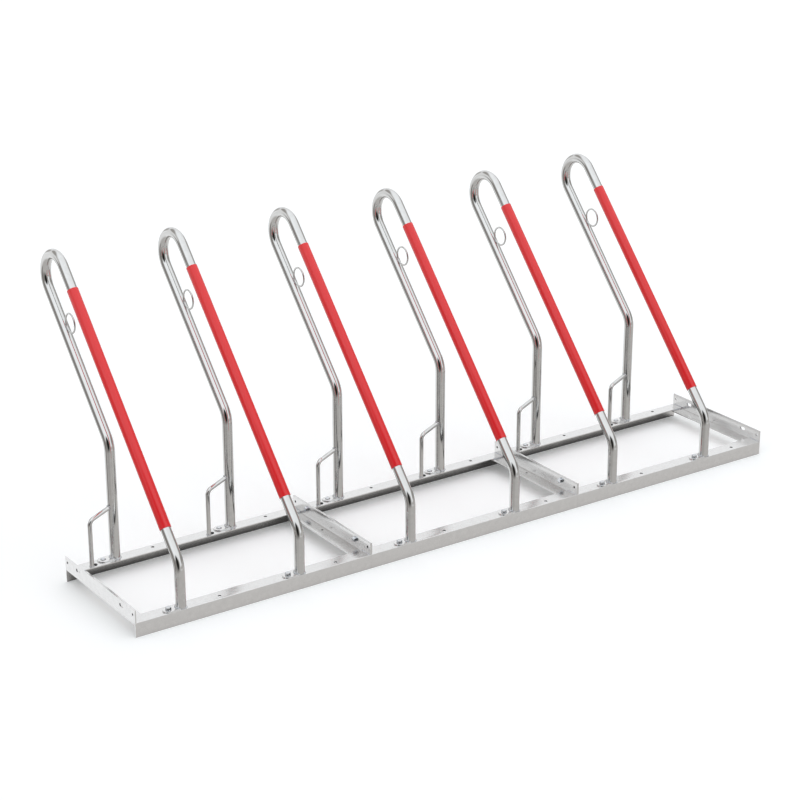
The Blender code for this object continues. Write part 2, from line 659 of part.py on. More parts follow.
clear_scene()
PARTS = new_collection("bicycle_rack")
CUTTERS = new_collection("cutters", helpers=True)
MATERIALS = {finish[0]: principled(*finish) for finish in FINISHES}
HOOP = hoop_mesh("hoop")
ROW_DEPTH = max(vertex.co.y for vertex in HOOP.vertices)
ROW_CORNER = bpy.data.objects.new("row_corner", None)
ROW_CORNER.location = (-ROW_LENGTH / 2, -ROW_DEPTH / 2, 0)
PARTS.objects.link(ROW_CORNER)
add_frames()
add_hoops(HOOP)
add_joints()
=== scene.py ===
"""Looks of a row rack for six bicycles: bright galvanised steel angle and tube, with red plastic sleeves.

Lengths are metres. The row runs along X, bicycles come in from -Y, and Z = 0 is the floor.
"""

import math

import bmesh
import bpy
from mathutils import Matrix, Vector


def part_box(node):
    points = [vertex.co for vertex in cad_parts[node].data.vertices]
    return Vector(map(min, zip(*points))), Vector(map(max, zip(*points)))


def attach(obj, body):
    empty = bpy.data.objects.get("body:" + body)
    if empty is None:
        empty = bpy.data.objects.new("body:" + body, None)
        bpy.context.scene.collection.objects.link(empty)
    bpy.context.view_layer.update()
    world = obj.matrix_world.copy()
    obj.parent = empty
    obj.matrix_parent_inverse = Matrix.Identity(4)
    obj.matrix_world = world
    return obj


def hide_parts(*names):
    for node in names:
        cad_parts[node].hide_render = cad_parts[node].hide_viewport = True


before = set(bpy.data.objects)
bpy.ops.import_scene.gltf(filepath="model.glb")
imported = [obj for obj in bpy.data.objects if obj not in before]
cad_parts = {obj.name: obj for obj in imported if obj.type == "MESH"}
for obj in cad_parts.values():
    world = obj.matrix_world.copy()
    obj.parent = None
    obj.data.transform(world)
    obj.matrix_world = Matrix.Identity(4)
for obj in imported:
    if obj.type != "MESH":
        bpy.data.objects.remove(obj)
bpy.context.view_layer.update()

# Camera
# It stands left of the row's front and looks down at it, as the photograph does: a long lens from nearly six
# metres away, so that the six hoops shrink only a little from left to right.
CAMERA_PLACE = (-3.1502, -4.5500, 2.4136)
CAMERA_TURN = math.radians(34.563)
CAMERA_DOWN = math.radians(20.992)
CAMERA_ROLL = math.radians(-0.011)
CAMERA_LENS = 94.77
CAMERA_FILM = 36
CAMERA_REACH = 200

lens = bpy.data.cameras.new("camera")
lens.lens = CAMERA_LENS
lens.sensor_width = CAMERA_FILM
lens.clip_end = CAMERA_REACH
camera = bpy.data.objects.new("camera", lens)
camera.location = CAMERA_PLACE
camera.rotation_euler = (math.pi / 2 - CAMERA_DOWN, CAMERA_ROLL, -CAMERA_TURN)
bpy.context.scene.collection.objects.link(camera)
bpy.context.scene.camera = camera

# Rails
# Each module has a front and a rear rail of 40 x 40 x 3 mm steel angle, punched and then hot-dip galvanised.
# One leg stands on the floor and the other is a level flange, cut back at its ends for the cross members.
ANGLE_WALL = 0.003
ANGLE_ROOT_RADIUS = 0.0015
ANGLE_EDGE_RADIUS = 0.001
ROUND_STEPS = 5
HOLE_SIDES = 32
MERGE_DISTANCE = 0.000005
SEAT_GAP = 0.0003
CUT_PAST = 0.004
CUT_ACROSS = 0.05
DRILL_THROUGH = ANGLE_WALL + 2 * CUT_PAST
RAIL_CUT_BACK = 0.0048
BOLT_OFFSET = 0.035
BOLT_INSET = 0.015
BOLT_HOLE = 0.009
SPARE_OFFSET = 0.112
SPARE_HOLE = 0.009
GUIDE_HOLE_OFFSET = 0.0638
GUIDE_HOLE_INSET = 0.0271
GUIDE_HOLE = 0.0095
SHARP_ANGLE = math.radians(30)
ANGLE_LIGHT = "E9E9E9"
ANGLE_DARK = "E5E5E5"
# Painted shade: the dark grey tones given to the walls of the holes.
HOLE_SHADE_LIGHT = "6C6C6C"
HOLE_SHADE_DARK = "5A5A5A"
SPANGLE = 0.010
GRAIN = 0.0014
WAVE = 0.030
MODULES = (1, 2, 3)
HOOPS = range(1, 7)


def linear(colour):
    """A linear RGBA colour from an sRGB hex value."""
    parts = [int(colour[i:i + 2], 16) / 255 for i in (0, 2, 4)]
    return (*[((c + 0.055) / 1.055) ** 2.4 if c > 0.04045 else c / 12.92 for c in parts], 1)


def add_node(tree, kind, settings, links=()):
    """Adds a node. Settings are plain inputs or properties, and links are (input, output) pairs."""
    node = tree.nodes.new(kind)
    for key, value in settings.items():
        if isinstance(key, int) or key in node.inputs:
            node.inputs[key].default_value = value
        else:
            setattr(node, key, value)
    for key, output in links:
        tree.links.new(output, node.inputs[key])
    return node


def zinc_coat(name, light, dark, roughness, spread, grain_height, wave_height):
    """Hot-dip galvanised steel: a bright metal whose zinc crystals differ a little in tone and in polish.

    The bath leaves a fine grain and long shallow waves, so reflections are clear but waver along a bar.
    """
    material = bpy.data.materials.new(name)
    material.use_nodes = True
    tree = material.node_tree
    shader = tree.nodes["Principled BSDF"]
    shader.inputs["Metallic"].default_value = 1.0
    place = add_node(tree, "ShaderNodeTexCoord", {}).outputs["Object"]
    crystals = add_node(
        tree, "ShaderNodeTexVoronoi", {"Scale": 1 / SPANGLE, "Randomness": 1.0}, [("Vector", place)]
    )
    tone = add_node(tree, "ShaderNodeSeparateColor", {}, [("Color", crystals.outputs["Color"])])
    colour = add_node(
        tree,
        "ShaderNodeMix",
        {"data_type": "RGBA", 6: linear(dark), 7: linear(light)},
        [(0, tone.outputs["Red"])],
    )
    polish = add_node(
        tree,
        "ShaderNodeMapRange",
        {"To Min": roughness - spread, "To Max": roughness + spread},
        [("Value", tone.outputs["Green"])],
    )
    waves = add_node(tree, "ShaderNodeTexNoise", {"Scale": 1 / WAVE, "Detail": 1.0}, [("Vector", place)])
    slow = add_node(
        tree,
        "ShaderNodeBump",
        {"Strength": 1.0, "Distance": wave_height},
        [("Height", waves.outputs["Fac"])],
    )
    grain = add_node(tree, "ShaderNodeTexNoise", {"Scale": 1 / GRAIN, "Detail": 3.0}, [("Vector", place)])
    relief = add_node(
        tree,
        "ShaderNodeBump",
        {"Strength": 1.0, "Distance": grain_height},
        [("Height", grain.outputs["Fac"]), ("Normal", slow.outputs["Normal"])],
    )
    tree.links.new(colour.outputs[2], shader.inputs["Base Color"])
    tree.links.new(polish.outputs["Result"], shader.inputs["Roughness"])
    tree.links.new(relief.outputs["Normal"], shader.inputs["Normal"])
    return material


def mesh_from(shape, name):
    """The mesh of a bmesh, with its doubles merged and its faces pointing out."""
    bmesh.ops.remove_doubles(shape, verts=shape.verts, dist=MERGE_DISTANCE)
    bmesh.ops.recalc_face_normals(shape, faces=shape.faces)
    mesh = bpy.data.meshes.new(name)
    shape.to_mesh(mesh)
    shape.free()
    return mesh


def angle_bar(flange, leg, length):
    """An angle bar with its heel on the Z axis. Its flange runs along +X, and its leg along +Y."""
    shape = bmesh.new()
    corners = [
        (0, 0, ANGLE_EDGE_RADIUS),
        (flange, 0, 0),
        (flange, ANGLE_WALL, ANGLE_EDGE_RADIUS),
        (ANGLE_WALL, ANGLE_WALL, ANGLE_ROOT_RADIUS),
        (ANGLE_WALL, leg, ANGLE_EDGE_RADIUS),
        (0, leg, 0),
    ]
    outline = [shape.verts.new((x, y, 0)) for x, y, radius in corners]
    shape.faces.new(outline)
    for vert, (x, y, radius) in zip(outline, corners):
        if radius:
            bmesh.ops.bevel(
                shape, geom=[vert], offset=radius, segments=ROUND_STEPS, profile=0.5,
                affect="VERTICES", material=-1,
            )
    moved = bmesh.ops.extrude_face_region(shape, geom=shape.faces[:], use_keep_orig=True)
    ends = [item for item in moved["geom"] if isinstance(item, bmesh.types.BMVert)]
    bmesh.ops.translate(shape, verts=ends, vec=(0, 0, length))
    return shape


def drill(cutter, centre, axis, diameter, depth, sides=HOLE_SIDES, finish=0):
    """Adds a round bit to a cutter, centred on a point and standing along an axis.

    The wall that it leaves takes the bar's finish of that number.
    """
    turn = axis.to_track_quat("Z", "Y").to_matrix().to_4x4()
    made = bmesh.ops.create_cone(
        cutter, cap_ends=True, segments=sides, radius1=diameter / 2, radius2=diameter / 2,
        depth=depth, matrix=Matrix.Translation(centre) @ turn,
    )
    for face in {face for vert in made["verts"] for face in vert.link_faces}:
        face.material_index = finish


def saw(cutter, low, high):
    """Adds a box between two corners to a cutter."""
    low = Vector(low)
    high = Vector(high)
    size = Matrix.Diagonal((*(high - low), 1))
    bmesh.ops.create_cube(cutter, size=1, matrix=Matrix.Translation((low + high) / 2) @ size)


def machined(mesh, cutter, operation="DIFFERENCE", finishes=()):
    """The mesh with the cutter's shapes taken out of it, or joined to it by the operation UNION.

    Finishes are the bar's own, and that of the holes drilled in it.
    """
    piece = bpy.data.objects.new(mesh.name, mesh)
    tool = bpy.data.objects.new("cutter", mesh_from(cutter, "cutter"))
    for thing in (piece, tool):
        bpy.context.scene.collection.objects.link(thing)
        for finish in finishes:
            thing.data.materials.append(finish)
    step = piece.modifiers.new("cut", "BOOLEAN")
    step.operation = operation
    step.object = tool
    step.use_self = True
    step.material_mode = "TRANSFER" if finishes else "INDEX"
    graph = bpy.context.evaluated_depsgraph_get()
    result = bpy.data.meshes.new_from_object(piece.evaluated_get(graph))
    for thing in (piece, tool):
        bpy.data.objects.remove(thing)
    return result


def show(name, mesh, material, slot, *nodes):
    """A finished piece of the rack, which stands for its nodes and is fixed to the one body."""
    if not mesh.materials:
        mesh.materials.append(material)
    mesh.shade_smooth()
    mesh.set_sharp_from_angle(angle=SHARP_ANGLE)
    piece = bpy.data.objects.new(name, mesh)
    bpy.context.scene.collection.objects.link(piece)
    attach(piece, "root")
    if nodes:
        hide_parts(*nodes)


def middle_x(node):
    """The x of a node's middle."""
    low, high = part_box(node)
    return (low.x + high.x) / 2


AXIS_X = Vector((1, 0, 0))
AXIS_Y = Vector((0, 1, 0))
AXIS_Z = Vector((0, 0, 1))
# Rolled bar is slightly rough under its zinc, so its faces are pale and mirror the studio only softly.
angle_steel = zinc_coat(
    "galvanised_angle_steel", ANGLE_LIGHT, ANGLE_DARK,
    roughness=0.22, spread=0.015, grain_height=0.000005, wave_height=0.00003,
)
# The zinc in a punched hole is rough and dull, and its dark grey is painted shade, so that a hole reads as a
# dark spot.
hole_shade_steel = zinc_coat(
    "zinc_in_holes_painted_shade", HOLE_SHADE_LIGHT, HOLE_SHADE_DARK,
    roughness=0.50, spread=0.05, grain_height=0.00002, wave_height=0.00003,
)
HOOP_X = [middle_x(f"sleeve_{i}") for i in HOOPS]
FRONT_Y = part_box("front_rail_1")[0].y
REAR_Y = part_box("rear_rail_1")[1].y
FLANGE_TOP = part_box("front_rail_1")[1].z
for place, outer_y, inwards in (("front", FRONT_Y, 1), ("rear", REAR_Y, -1)):
    for module in MODULES:
        node = f"{place}_rail_{module}"
        low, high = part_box(node)
        bar = angle_bar(high.y - low.y, high.z, high.x - low.x)
        lay = Matrix(((0, 0, 1, low.x), (inwards, 0, 0, outer_y), (0, -1, 0, high.z), (0, 0, 0, 1)))
        bmesh.ops.transform(bar, matrix=lay, verts=bar.verts)
        cutter = bmesh.new()
        near_y, far_y = sorted((outer_y + inwards * ANGLE_WALL, outer_y + inwards * CUT_ACROSS))
        low_z = high.z - ANGLE_WALL - ANGLE_ROOT_RADIUS - CUT_PAST
        saw(cutter, (low.x - CUT_PAST, near_y, low_z), (low.x + RAIL_CUT_BACK, far_y, high.z + CUT_PAST))
        saw(cutter, (high.x - RAIL_CUT_BACK, near_y, low_z), (high.x + CUT_PAST, far_y, high.z + CUT_PAST))
        for x in HOOP_X[2 * module - 2:2 * module]:
            holes = [(-BOLT_OFFSET, BOLT_INSET, BOLT_HOLE), (SPARE_OFFSET, BOLT_INSET, SPARE_HOLE)]
            if place == "rear":
                holes.append((-GUIDE_HOLE_OFFSET, GUIDE_HOLE_INSET, GUIDE_HOLE))
            for along, inset, diameter in holes:
                centre = Vector((x + along, outer_y + inwards * inset, high.z - ANGLE_WALL / 2))
                drill(cutter, centre, AXIS_Z, diameter, DRILL_THROUGH, finish=1)
        mesh = machined(mesh_from(bar, f"{node}_angle"), cutter, finishes=[angle_steel, hole_shade_steel])
        show(f"{node}_angle", mesh, angle_steel, "galvanised_angle", node)

# Cross members
# The same angle across each end of a module. Its upstand is coped to drop between the rails' outer legs, and
# has two slots for the joint bolts. Its flat leg lies under the rails' flanges.
SLOT_INSET = 0.0727
SLOT_LENGTH = 0.020
HOLE_RISE = 0.0254
END_HOLE_INSET = 0.0125
MIDDLE_HOLE_INSET = 0.173
MIDDLE_HOLE_MARK = 0.0175
MEMBER_HOLE = 0.007
LEG_CLEARANCE = 0.0033
FLANGE_CLEARANCE = 0.0048
COPE_TOP = FLANGE_TOP + SEAT_GAP

for module in MODULES:
    for side, inwards in (("left", 1), ("right", -1)):
        node = f"{side}_cross_member_{module}"
        low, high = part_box(node)
        heel_x = low.x if side == "left" else high.x
        wall_x = heel_x + inwards * ANGLE_WALL / 2
        bar = angle_bar(high.x - low.x, high.z - low.z, high.y - low.y)
        lay = Matrix(((inwards, 0, 0, heel_x), (0, 0, 1, low.y), (0, 1, 0, low.z), (0, 0, 0, 1)))
        bmesh.ops.transform(bar, matrix=lay, verts=bar.verts)
        cutter = bmesh.new()
        hole_z = low.z + HOLE_RISE
        copes = [
            (LEG_CLEARANCE, heel_x - inwards * CUT_PAST),
            (FLANGE_CLEARANCE, heel_x + inwards * ANGLE_WALL),
        ]
        for end_y, along in ((low.y, 1), (high.y, -1)):
            past_y = end_y - along * CUT_PAST
            for reach, start_x in copes:
                near_x, far_x = sorted((start_x, heel_x + inwards * CUT_ACROSS))
                near_y, far_y = sorted((past_y, end_y + along * reach))
                saw(cutter, (near_x, near_y, low.z - CUT_PAST), (far_x, far_y, COPE_TOP))
            spot = Vector((wall_x, end_y + along * END_HOLE_INSET, hole_z))
            drill(cutter, spot, AXIS_X, MEMBER_HOLE, DRILL_THROUGH, finish=1)
            middle = Vector((wall_x, end_y + along * SLOT_INSET, hole_z))
            half = Vector((ANGLE_WALL / 2 + CUT_PAST, (SLOT_LENGTH - BOLT_HOLE) / 2, BOLT_HOLE / 2))
            saw(cutter, middle - half, middle + half)
            for end in (-half.y, half.y):
                drill(cutter, middle + end * AXIS_Y, AXIS_X, BOLT_HOLE, DRILL_THROUGH, finish=1)
        hole_x = heel_x + inwards * MIDDLE_HOLE_MARK
        spot = Vector((hole_x, high.y - MIDDLE_HOLE_INSET, low.z + ANGLE_WALL / 2))
        drill(cutter, spot, AXIS_Z, MEMBER_HOLE, DRILL_THROUGH, finish=1)
        mesh = machined(mesh_from(bar, f"{node}_angle"), cutter, finishes=[angle_steel, hole_shade_steel])
        show(f"{node}_angle", mesh, angle_steel, "galvanised_angle", node)

# Frame welds
# Beads of weld close the narrow gap between a flange's end and an upstand, and join the flat leg to the
# flange's inner edge. Each shows the ripples of its weld pool, softened by the zinc.
BEAD_SIDES = 12
BEAD_STEPS = 6
BEAD_TIP = 0.3
RIPPLE = 0.0018
RIPPLE_DEPTH = 0.10
SEAM_RADIUS = 0.0019
SEAM_SINK = 0.0009
FLANGE_BEAD_RADIUS = 0.0015
FLANGE_BEAD_START = 0.006
FLANGE_BEAD_MARGIN = 0.002
WELD_LIGHT = "D2D4D6"
WELD_DARK = "C6C8CB"


def ring(shape, centre, direction, radius, sides):
    """A circle of edges square to a direction."""
    turn = direction.to_track_quat("Z", "Y").to_matrix().to_4x4()
    made = bmesh.ops.create_circle(
        shape, cap_ends=False, segments=sides, radius=radius, matrix=Matrix.Translation(centre) @ turn
    )
    return list({edge for vert in made["verts"] for edge in vert.link_edges})


def run_straight(shape, edges, way):
    """Extrudes a ring of edges along a straight, and returns the ring at its end."""
    made = bmesh.ops.extrude_edge_only(shape, edges=edges)
    verts = [item for item in made["geom"] if isinstance(item, bmesh.types.BMVert)]
    bmesh.ops.translate(shape, verts=verts, vec=way)
    return [item for item in made["geom"] if isinstance(item, bmesh.types.BMEdge)]


def bead(shape, start, end, radius):
    """A straight bead of weld with round ends, whose thickness swells and shrinks with each ripple."""
    way = end - start
    length = way.length
    steps = BEAD_STEPS * math.ceil(length / RIPPLE)
    size = radius * BEAD_TIP
    edges = ring(shape, start, way, size, BEAD_SIDES)
    bmesh.ops.contextual_create(shape, geom=edges)
    for step in range(1, steps + 1):
        along = length * step / steps
        edges = run_straight(shape, edges, way / steps)
        from_end = min(along, length - along) / radius
        round_end = math.sqrt(max(BEAD_TIP ** 2, 1 - (1 - min(from_end, 1)) ** 2))
        wanted = radius * round_end * (1 + RIPPLE_DEPTH * math.cos(math.tau * along / RIPPLE))
        verts = list({vert for edge in edges for vert in edge.verts})
        centre = start + way * step / steps
        bmesh.ops.scale(shape, vec=[wanted / size] * 3, space=Matrix.Translation(-centre), verts=verts)
        size = wanted
    bmesh.ops.contextual_create(shape, geom=edges)


# Zinc that froze over a rippled bead is smoother than on the bars, and glints.
weld_steel = zinc_coat(
    "galvanised_weld_bead", WELD_LIGHT, WELD_DARK,
    roughness=0.13, spread=0.03, grain_height=0.00001, wave_height=0.00004,
)
for module in MODULES:
    for side, inwards in (("left", 1), ("right", -1)):
        member_low, member_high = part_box(f"{side}_cross_member_{module}")
        heel_x = member_low.x if side == "left" else member_high.x
        seam_x = heel_x + inwards * (ANGLE_WALL + RAIL_CUT_BACK) / 2
        seam_z = FLANGE_TOP - SEAM_SINK
        beads = bmesh.new()
        for rail in (f"front_rail_{module}", f"rear_rail_{module}"):
            low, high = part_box(rail)
            near_y, far_y = low.y + ANGLE_WALL, high.y
            edge_y = high.y + SEAT_GAP
            if rail.startswith("rear"):
                near_y, far_y = low.y, high.y - ANGLE_WALL
                edge_y = low.y - SEAT_GAP
            bead(beads, Vector((seam_x, near_y, seam_z)), Vector((seam_x, far_y, seam_z)), SEAM_RADIUS)
            edge_z = member_low.z + ANGLE_WALL + FLANGE_BEAD_RADIUS / 2
            reach = member_high.x - member_low.x - FLANGE_BEAD_MARGIN
            start = Vector((heel_x + inwards * FLANGE_BEAD_START, edge_y, edge_z))
            end = Vector((heel_x + inwards * reach, edge_y, edge_z))
            bead(beads, start, end, FLANGE_BEAD_RADIUS)
        show(f"{side}_welds_{module}", mesh_from(beads, "frame_welds"), weld_steel, "galvanised_angle")

# Hoops
# Each is one 28 mm steel tube, bent in three places on a tube bender and galvanised inside and out. It is
# welded on to the rails' flanges, beside a flat lug with a half-round end that takes the foot's bolt.
TUBE_RADIUS = 0.014
TUBE_WALL = 0.002
TUBE_SIDES = 64
SLOPE_ANGLE = math.radians(42.15)
ARC_RADIUS = 0.0634
BEND_RADIUS = 0.060
FRONT_LEG_INSET = 0.01425
REAR_LEG_INSET = 0.0163
BEND_STEPS = 18
ARC_STEPS = 48
LUG_THICKNESS = 0.003
LUG_RADIUS = 0.015
LUG_COPE = 0.007
LUG_EDGE = 0.0005
LUG_END_STEPS = 16
LUG_END_SHARE = 0.999
EDGE_NEARNESS = 0.000001
FOOT_WELD = 0.0024
WELD_BITE = 0.0004
WELD_STEPS = 5
WELD_RING_SIDES = 192
WELD_CLIMB = (0.42, 0.58)
EDGE_MARGIN = 0.0001
TUBE_LIGHT = "D7D7D6"
TUBE_DARK = "D3D3D2"

UP_SLOPE = Vector((0, math.sin(SLOPE_ANGLE), math.cos(SLOPE_ANGLE)))
OFF_SLOPE = Vector((0, math.cos(SLOPE_ANGLE), -math.sin(SLOPE_ANGLE)))
FRONT_LEG_Y = FRONT_Y + FRONT_LEG_INSET
REAR_LEG_Y = REAR_Y - REAR_LEG_INSET
LEG_BOTTOM = FLANGE_TOP + SEAT_GAP
LUG_TOP = LEG_BOTTOM + LUG_THICKNESS
HOOP_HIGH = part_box("hoop_1")[1]
ARC_CENTRE = Vector((0, HOOP_HIGH.y - ARC_RADIUS - TUBE_RADIUS, HOOP_HIGH.z - ARC_RADIUS - TUBE_RADIUS))


def corner_below(leg_y, offset):
    """Where a slope's centreline, offset from the arc's centre, meets a leg's."""
    start = ARC_CENTRE + offset * OFF_SLOPE
    return start - UP_SLOPE * (start.y - leg_y) / UP_SLOPE.y


def run_bend(shape, edges, centre, axis, angle, steps):
    """Turns a ring of edges about an axis, and returns the ring at its end."""
    geometry = edges + list({vert for edge in edges for vert in edge.verts})
    made = bmesh.ops.spin(
        shape, geom=geometry, cent=centre, axis=axis, dvec=(0, 0, 0), angle=angle, steps=steps
    )
    return [item for item in made["geom_last"] if isinstance(item, bmesh.types.BMEdge)]


def bent_tube(shape, edges, points, radii, steps):
    """Runs a ring of edges along straights that meet at points, with a round bend at each inner point."""
    here = points[0]
    for i, (corner, radius) in enumerate(zip(points[1:-1], radii), start=1):
        into = (corner - points[i - 1]).normalized()
        out = (points[i + 1] - corner).normalized()
        turn = into.angle(out)
        bend_start = corner - into * radius * math.tan(turn / 2)
        axis = into.cross(out).normalized()
        centre = bend_start + axis.cross(into) * radius
        edges = run_straight(shape, edges, bend_start - here)
        edges = run_bend(shape, edges, centre, axis, turn, steps)
        here = corner + out * radius * math.tan(turn / 2)
    return run_straight(shape, edges, points[-1] - here)


def turned(shape, profile, centre, axis, sides):
    """Spins a profile of (radius, height) points about an axis.

    A profile that ends where it starts is a closed ring's.
    """
    across = axis.orthogonal().normalized()
    points = profile[:-1] if profile[0] == profile[-1] else profile
    verts = [shape.verts.new(centre + across * radius + axis * height) for radius, height in points]
    chain = verts if points is profile else [*verts, verts[0]]
    lines = [shape.edges.new(pair) for pair in zip(chain, chain[1:])]
    bmesh.ops.spin(
        shape, geom=verts + lines, cent=centre, axis=axis, dvec=(0, 0, 0), angle=math.tau, steps=sides,
        use_merge=True,
    )


def weld_ring(centre, axis, radius, size):
    """A fillet of weld round a tube, with a ripple for each step of the weld pool."""
    shape = bmesh.new()
    turns = [math.pi / 2 * step / WELD_STEPS for step in range(WELD_STEPS + 1)]
    face = [(radius + size * math.cos(turn), size * math.sin(turn)) for turn in turns]
    root = (radius - WELD_BITE, -WELD_BITE)
    profile = [root, (radius + size, -WELD_BITE), *face, (radius - WELD_BITE, size), root]
    turned(shape, profile, centre, axis, WELD_RING_SIDES)
    across = axis.orthogonal().normalized()
    beside = axis.cross(across)
    ripples = round(math.tau * radius / RIPPLE)
    for vert in shape.verts:
        out = vert.co - centre
        height = out.dot(axis)
        flat = out - height * axis
        angle = math.atan2(flat.dot(beside), flat.dot(across))
        wave = 1 + RIPPLE_DEPTH * math.cos(ripples * angle)
        reach = radius + (flat.length - radius) * wave
        vert.co = centre + flat.normalized() * reach + axis * height * wave
    return shape


def eased(value, start, end):
    """A smooth step from 0 to 1 as the value goes from start to end."""
    share = min(max((value - start) / (end - start), 0), 1)
    return share * share * (3 - 2 * share)


def foot_weld(leg_y):
    """The ring of weld round a leg's foot. It climbs on to the lug at its left, and is flush with the rail.

    The climb lies between two cosines of the angle from the lug.
    """
    centre = Vector((0, leg_y, FLANGE_TOP))
    shape = weld_ring(centre, AXIS_Z, TUBE_RADIUS, FOOT_WELD)
    for vert in shape.verts:
        flat = vert.co - centre
        flat.z = 0
        vert.co.z += (LUG_TOP - FLANGE_TOP) * eased(-flat.x / flat.length, *WELD_CLIMB)
        vert.co.y = min(max(vert.co.y, FRONT_Y + EDGE_MARGIN), REAR_Y - EDGE_MARGIN)
    return mesh_from(shape, "foot_weld")


def moved_to(mesh, x):
    """A copy of a mesh at another place along the row."""
    copy = mesh.copy()
    copy.transform(Matrix.Translation((x, 0, 0)))
    return copy


def lug(bolt_y):
    """A foot lug: flat bar with a half-round end about its bolt hole, and slightly rounded upper edges."""
    shape = bmesh.new()
    low = Vector((-BOLT_OFFSET - LUG_RADIUS, bolt_y - LUG_RADIUS, LEG_BOTTOM))
    high = Vector((LUG_COPE - TUBE_RADIUS, bolt_y + LUG_RADIUS, LUG_TOP))
    saw(shape, low, high)
    corners = [
        edge for edge in shape.edges
        if all(vert.co.x < low.x + EDGE_NEARNESS for vert in edge.verts)
        and abs(edge.verts[0].co.z - edge.verts[1].co.z) > EDGE_NEARNESS
    ]
    bmesh.ops.bevel(
        shape, geom=corners, offset=LUG_RADIUS * LUG_END_SHARE, segments=LUG_END_STEPS, profile=0.5,
        affect="EDGES", material=-1,
    )
    rim = [edge for edge in shape.edges if all(vert.co.z > LUG_TOP - EDGE_NEARNESS for vert in edge.verts)]
    bmesh.ops.bevel(shape, geom=rim, offset=LUG_EDGE, segments=3, profile=0.5, affect="EDGES", material=-1)
    cutter = bmesh.new()
    drill(cutter, Vector((-BOLT_OFFSET, bolt_y, LUG_TOP)), AXIS_Z, BOLT_HOLE, DRILL_THROUGH)
    return machined(mesh_from(shape, "lug"), cutter)


# Drawn tube is smooth, and its thin zinc runs off evenly, so it mirrors the studio sharply.
tube_steel = zinc_coat(
    "galvanised_tube_steel", TUBE_LIGHT, TUBE_DARK,
    roughness=0.040, spread=0.008, grain_height=0.000001, wave_height=0.00002,
)
front_corner = corner_below(FRONT_LEG_Y, -ARC_RADIUS)
rear_corner = corner_below(REAR_LEG_Y, ARC_RADIUS)
front_foot = Vector((0, FRONT_LEG_Y, LEG_BOTTOM))
rear_foot = Vector((0, REAR_LEG_Y, LEG_BOTTOM))
arc_start = ARC_CENTRE - ARC_RADIUS * OFF_SLOPE
arc_end = ARC_CENTRE + ARC_RADIUS * OFF_SLOPE
tube = bmesh.new()
edges = ring(tube, front_foot, AXIS_Z, TUBE_RADIUS, TUBE_SIDES)
edges = bent_tube(tube, edges, [front_foot, front_corner, arc_start], [BEND_RADIUS], BEND_STEPS)
edges = run_bend(tube, edges, ARC_CENTRE, -AXIS_X, math.pi, ARC_STEPS)
edges = bent_tube(tube, edges, [arc_end, rear_corner, rear_foot], [BEND_RADIUS], BEND_STEPS)
bmesh.ops.recalc_face_normals(tube, faces=tube.faces)
bmesh.ops.solidify(tube, geom=tube.faces[:], thickness=TUBE_WALL)
hoop_mesh = mesh_from(tube, "bent_hoop")
front_lug = lug(FRONT_Y + BOLT_INSET)
rear_lug = lug(REAR_Y - BOLT_INSET)
front_weld = foot_weld(FRONT_LEG_Y)
rear_weld = foot_weld(REAR_LEG_Y)
for i, x in enumerate(HOOP_X, start=1):
    show(f"hoop_{i}_tube", moved_to(hoop_mesh, x), tube_steel, "galvanised_tube", f"hoop_{i}")
    show(f"hoop_{i}_front_lug", moved_to(front_lug, x), angle_steel, "galvanised_tube")
    show(f"hoop_{i}_rear_lug", moved_to(rear_lug, x), angle_steel, "galvanised_tube")
    show(f"hoop_{i}_front_weld", moved_to(front_weld, x), weld_steel, "galvanised_tube")
    show(f"hoop_{i}_rear_weld", moved_to(rear_weld, x), weld_steel, "galvanised_tube")

# Sleeves
# A red plastic tube pushed over each long slope keeps bicycle frames from scratches. It is extruded, so it
# has a glossy skin with faint lengthwise lines, and its ends are cut square.
SLEEVE_START = 0.0943
SLEEVE_END_MARGIN = 0.0685
SLEEVE_WALL = 0.0011
SLEEVE_GAP = 0.0003
SLEEVE_RIM = 0.0003
DIE_LINE = 0.0012
DIE_LINE_LENGTH = 0.25
DIE_LINE_HEIGHT = 0.00002
CLOUD = 0.06
SLEEVE_RED = "F43034"
SLEEVE_DEEP_RED = "F02C31"
SLEEVE_POLISH = (0.12, 0.20)
SLEEVE_IOR = 1.53


def plastic_skin(name, dark, light, grain, turn, height, roughness, ior):
    """Plastic whose tone varies a little in soft clouds.

    Its skin has a fine grain of the given size along three axes, turned about X, which also makes its polish
    uneven between two values of roughness.
    """
    material = bpy.data.materials.new(name)
    material.use_nodes = True
    tree = material.node_tree
    shader = tree.nodes["Principled BSDF"]
    shader.inputs["IOR"].default_value = ior
    place = add_node(tree, "ShaderNodeTexCoord", {}).outputs["Object"]
    along_grain = add_node(
        tree,
        "ShaderNodeMapping",
        {"vector_type": "TEXTURE", "Rotation": (turn, 0, 0), "Scale": grain},
        [("Vector", place)],
    )
    lines = add_node(
        tree,
        "ShaderNodeTexNoise",
        {"Scale": 1.0, "Detail": 2.0},
        [("Vector", along_grain.outputs["Vector"])],
    )
    relief = add_node(
        tree, "ShaderNodeBump", {"Strength": 1.0, "Distance": height}, [("Height", lines.outputs["Fac"])]
    )
    clouds = add_node(tree, "ShaderNodeTexNoise", {"Scale": 1 / CLOUD, "Detail": 2.0}, [("Vector", place)])
    colour = add_node(
        tree,
        "ShaderNodeMix",
        {"data_type": "RGBA", 6: linear(dark), 7: linear(light)},
        [(0, clouds.outputs["Fac"])],
    )
    polish = add_node(
        tree,
        "ShaderNodeMapRange",
        {"To Min": roughness[0], "To Max": roughness[1]},
        [("Value", lines.outputs["Fac"])],
    )
    tree.links.new(colour.outputs[2], shader.inputs["Base Color"])
    tree.links.new(polish.outputs["Result"], shader.inputs["Roughness"])
    tree.links.new(relief.outputs["Normal"], shader.inputs["Normal"])
    return material


